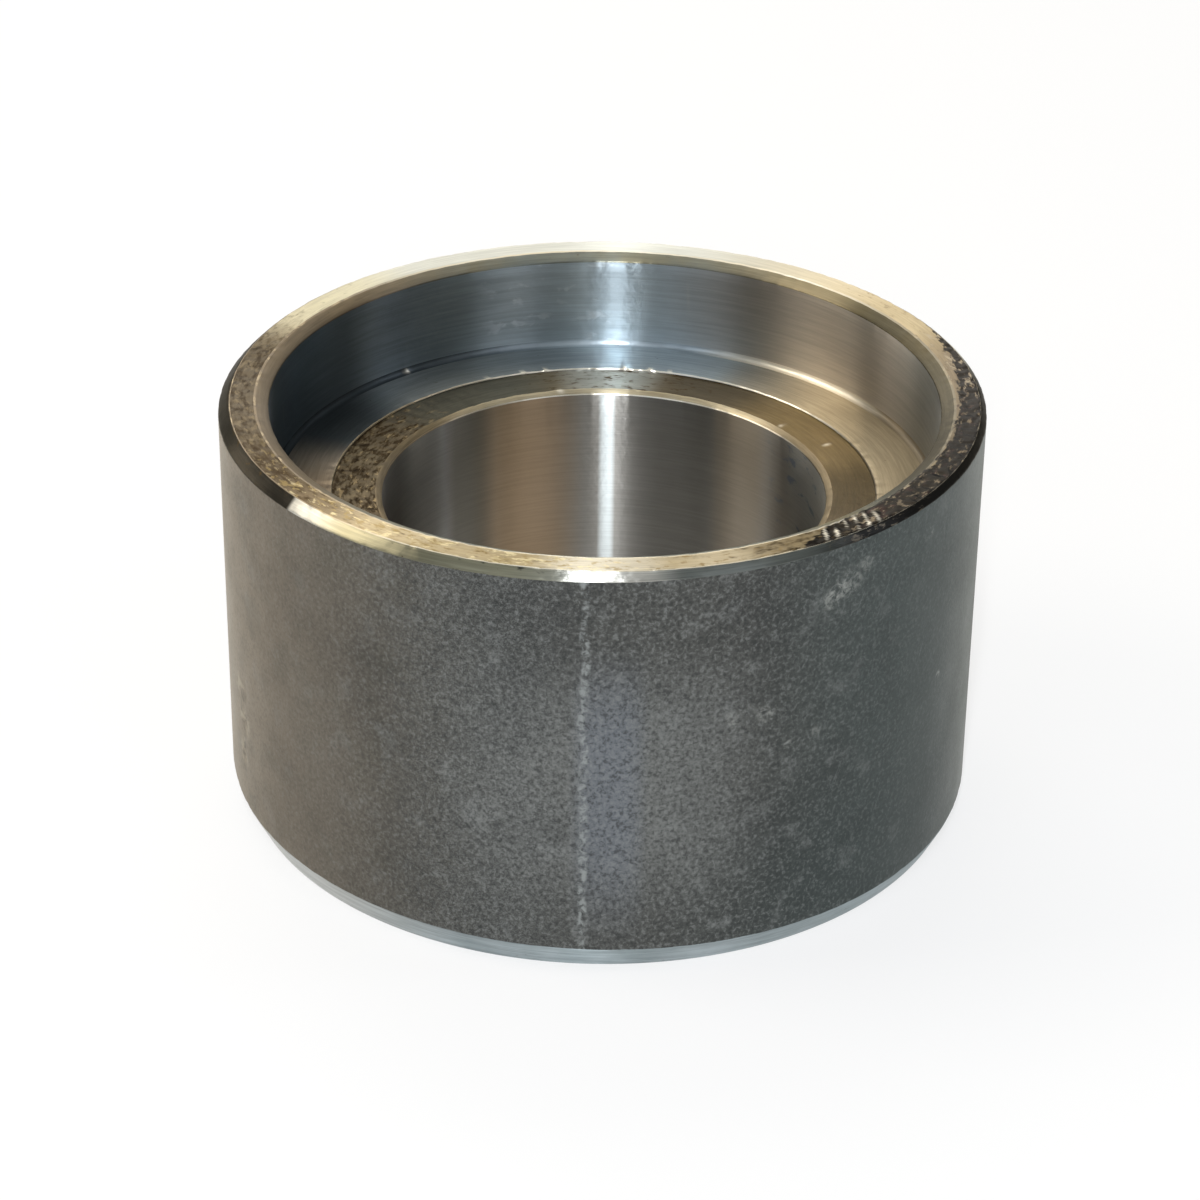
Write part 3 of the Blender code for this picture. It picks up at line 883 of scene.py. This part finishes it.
def add_camera(scene):
    """Camera in front of the bushing, tilted down at it and rolled a little."""
    data = bpy.data.cameras.new("camera")
    data.sensor_width = SENSOR_WIDTH
    data.lens = SENSOR_WIDTH * CAMERA_LENS_PIXELS / FRAME_PIXELS
    data.clip_start = 0.01
    camera = bpy.data.objects.new("camera", data)
    camera.location = (0.0, -CAMERA_BACK, CAMERA_ABOVE)
    look = Euler((math.radians(90.0) - CAMERA_TILT, 0.0, 0.0)).to_matrix()
    roll = Matrix.Rotation(CAMERA_ROLL, 3, "Z")
    camera.rotation_euler = (look @ roll).to_euler()
    scene.collection.objects.link(camera)
    scene.camera = camera


# Half the floor's width in metres, and the light it gives off where it is seen.
FLOOR_REACH = 3.0
FLOOR_GLOW = 0.70

# Strength of the surroundings, from below to overhead.
WORLD_LOW = 0.18
WORLD_HIGH = 0.50

# Lamps face this height in metres over the foot.
LAMP_AIM = 0.04

# Lamps: name, bearing and elevation in degrees, distance, width and height in metres,
# level, colour. A level of one is as bright as white paper.
LAMPS = (
    ("back_strip", 351.0, 42.0, 1.0, 0.80, 0.95, 1.9, "#fff8ec"),
    ("left_box", 272.0, 40.0, 0.9, 0.42, 0.40, 5.5, "#fff4e4"),
    ("low_left_box", 300.0, 12.0, 0.9, 0.35, 0.22, 4.0, "#fff2e2"),
    ("right_box", 90.0, 34.0, 0.9, 0.14, 0.40, 3.0, "#eef2ff"),
    ("front_right_box", 142.0, 32.0, 0.9, 0.30, 0.28, 2.2, "#f0f3ff"),
    ("front_left_box", 214.0, 34.0, 0.9, 0.40, 0.28, 2.0, "#ebf1ff"),
    ("front_strip", 184.0, 38.0, 0.8, 0.020, 0.50, 108.0, "#f4f8ff"),
)


def add_lamp(scene, name, bearing, elevation, distance, width, height, level, code):
    """Soft panel that faces the bushing. Its power is pi times its level times its area."""
    data = bpy.data.lights.new(name, "AREA")
    data.shape = "RECTANGLE"
    data.size = width
    data.size_y = height
    data.energy = level * math.pi * width * height
    data.color = hex_colour(code)
    lamp = bpy.data.objects.new(name, data)
    east, north = heading(bearing)
    rise = math.radians(elevation)
    away = Vector((east * math.cos(rise), north * math.cos(rise), math.sin(rise)))
    lamp.location = Vector((0.0, 0.0, LAMP_AIM)) + away * distance
    lamp.rotation_euler = away.to_track_quat("Z", "Y").to_euler()
    lamp.visible_camera = False
    scene.collection.objects.link(lamp)


def add_floor(scene, c):
    """Pale paper floor. It is white to the camera and in reflections, less its shadow."""
    mesh = bpy.data.meshes.new("floor")
    signs = ((-1, -1), (1, -1), (1, 1), (-1, 1))
    corners = [(x * FLOOR_REACH, y * FLOOR_REACH, 0.0) for x, y in signs]
    mesh.from_pydata(corners, [], [(0, 1, 2, 3)])
    # Matt paper, lit evenly; its own light stands for a studio's bounced light.
    material, tree = new_material("matt_paper_floor")
    path = add_node(tree, "ShaderNodeLightPath")
    seen = add_node(tree, "ShaderNodeMath", {
        0: path["Is Camera Ray"], 1: path["Is Glossy Ray"]}, operation="MAXIMUM")[0]
    seen = add_node(tree, "ShaderNodeMath", {
        0: seen, 1: path["Is Transmission Ray"]}, operation="MAXIMUM")[0]
    glow = add_node(tree, "ShaderNodeMath", {0: seen, 1: FLOOR_GLOW}, operation="MULTIPLY")[0]
    shader = add_node(tree, "ShaderNodeBsdfPrincipled", {
        "Base Color": c.floor, "Roughness": 0.9, "Specular IOR Level": 0.0,
        "Emission Color": (1.0, 1.0, 1.0), "Emission Strength": glow})[0]
    add_node(tree, "ShaderNodeOutputMaterial", {"Surface": shader})
    mesh.materials.append(material)
    floor = bpy.data.objects.new("floor", mesh)
    scene.collection.objects.link(floor)


def add_world(scene):
    """Dim, even surroundings, a little brighter overhead."""
    world = bpy.data.worlds.new("studio")
    world.use_nodes = True
    tree = world.node_tree
    tree.nodes.clear()
    place = add_node(tree, "ShaderNodeTexCoord")["Generated"]
    up = add_node(tree, "ShaderNodeSeparateXYZ", {"Vector": place})["Z"]
    strength = add_node(tree, "ShaderNodeMapRange", {
        "Value": up, "To Min": WORLD_LOW, "To Max": WORLD_HIGH,
    }, interpolation_type="SMOOTHSTEP")[0]
    sky = add_node(tree, "ShaderNodeBackground", {
        "Color": (0.95, 0.98, 1.0), "Strength": strength})[0]
    add_node(tree, "ShaderNodeOutputWorld", {"Surface": sky})
    scene.world = world


class BUSHING_OT_stage(bpy.types.Operator):
    """Set up the pale floor, the soft lamps and the camera"""

    bl_idname = "bushing.stage"
    bl_label = "Studio"

    def execute(self, context):
        scene = context.scene
        scene.view_settings.view_transform = "Standard"
        add_floor(scene, scene.bushing_colours)
        add_world(scene)
        for lamp in LAMPS:
            add_lamp(scene, *lamp)
        add_camera(scene)
        return {"FINISHED"}


class BUSHING_PT_sidebar(bpy.types.Panel):
    """Sizes, colours and steps of the bushing"""

    bl_label = "Weld-on Bushing"
    bl_idname = "BUSHING_PT_sidebar"
    bl_space_type = "VIEW_3D"
    bl_region_type = "UI"
    bl_category = "Bushing"

    def draw(self, context):
        layout = self.layout
        for group in (context.scene.bushing_sizes, context.scene.bushing_colours):
            column = layout.column(align=True)
            for name in group.__annotations__:
                column.prop(group, name)
        for operator in OPERATORS:
            layout.operator(operator.bl_idname)


OPERATORS = (BUSHING_OT_ring, BUSHING_OT_stage)
CLASSES = (BushingSizes, BushingColours, *OPERATORS, BUSHING_PT_sidebar)


def register():
    for item in CLASSES:
        bpy.utils.register_class(item)
    bpy.types.Scene.bushing_sizes = PointerProperty(type=BushingSizes)
    bpy.types.Scene.bushing_colours = PointerProperty(type=BushingColours)


def unregister():
    del bpy.types.Scene.bushing_colours
    del bpy.types.Scene.bushing_sizes
    for item in reversed(CLASSES):
        bpy.utils.unregister_class(item)


def main():
    register()
    bpy.ops.bushing.ring()
    bpy.ops.bushing.stage()


if __name__ == "__main__":
    main()
